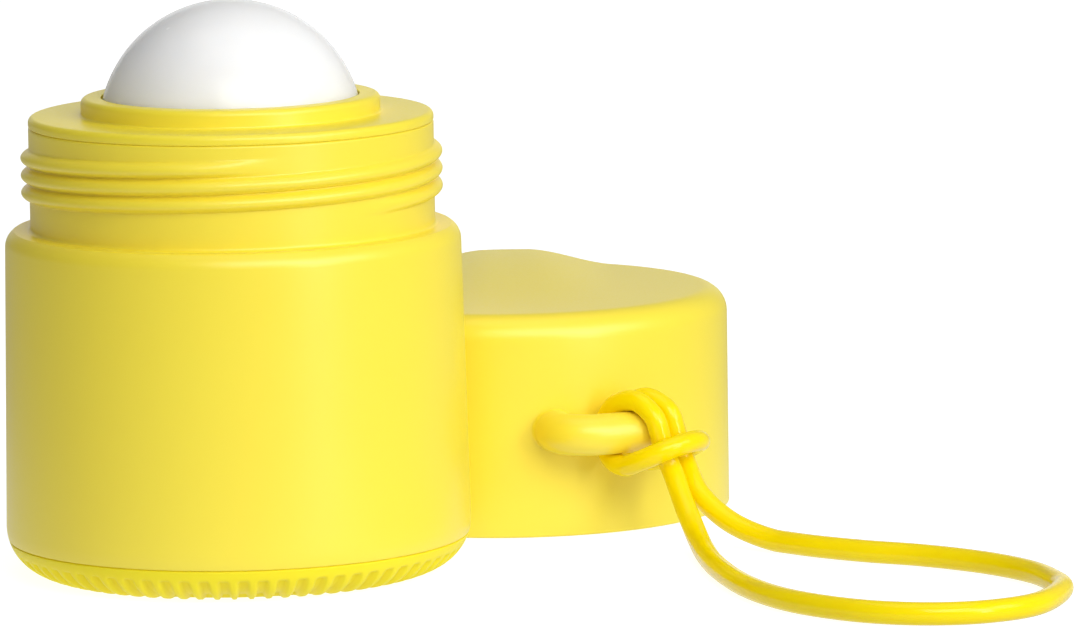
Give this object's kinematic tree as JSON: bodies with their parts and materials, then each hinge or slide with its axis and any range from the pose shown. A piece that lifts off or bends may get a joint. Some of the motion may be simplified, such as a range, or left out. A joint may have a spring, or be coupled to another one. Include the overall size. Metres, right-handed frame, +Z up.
{
  "type": "refillable roll-on sunscreen applicator with a screw cap and a wrist loop",
  "caption": "Squat round bottle with a roll-on ball in its neck and a ribbed screw base, its screw cap stood beside it with a silicone wrist loop hitched to a moulded bail.",
  "frame": {"origin": "centre of the foot, on the surface the bottle stands on", "axes": "+Z up along the bottle's axis, +Y away from the viewer of the picture, +X to the right"},
  "size_m": [0.138, 0.136, 0.076],
  "materials": {
    "body": "moulded polypropylene, fine matte",
    "housing": "moulded polyethylene, soft satin",
    "ball": "smooth white polypropylene",
    "base": "moulded polypropylene with grip ribs",
    "seal": "silicone rubber",
    "cap": "moulded polypropylene, fine matte",
    "gasket": "foamed polyethylene liner",
    "cord": "glossy silicone rubber"
  },
  "bodies": {
    "base": {"base_plug": "base", "cap_shell": "cap", "cap_gasket": "gasket", "wrist_loop": "cord"},
    "seal": {"base_seal": "seal"},
    "bottle": {"body_shell": "body", "ball_housing": "housing"},
    "ball": {"applicator_ball": "ball"}
  },
  "joints": [
    {"name": "bottle_turn", "type": "hinge", "parent": "base", "child": "seal", "pos_m": [0, 0, 0], "axis": [0, 0, 1], "range_deg": [0, 540]},
    {"name": "bottle_lift", "type": "slide", "parent": "seal", "child": "bottle", "axis": [0, 0, 1], "range_m": [0, 0.0075]},
    {"name": "ball_roll", "type": "hinge", "parent": "bottle", "child": "ball", "pos_m": [0, 0, 0.0585], "axis": [1, 0, 0], "continuous": true}
  ],
  "couplings": [
    {"joint": "bottle_lift", "follows": "bottle_turn", "m_per_rad": 0.00079577}
  ]
}
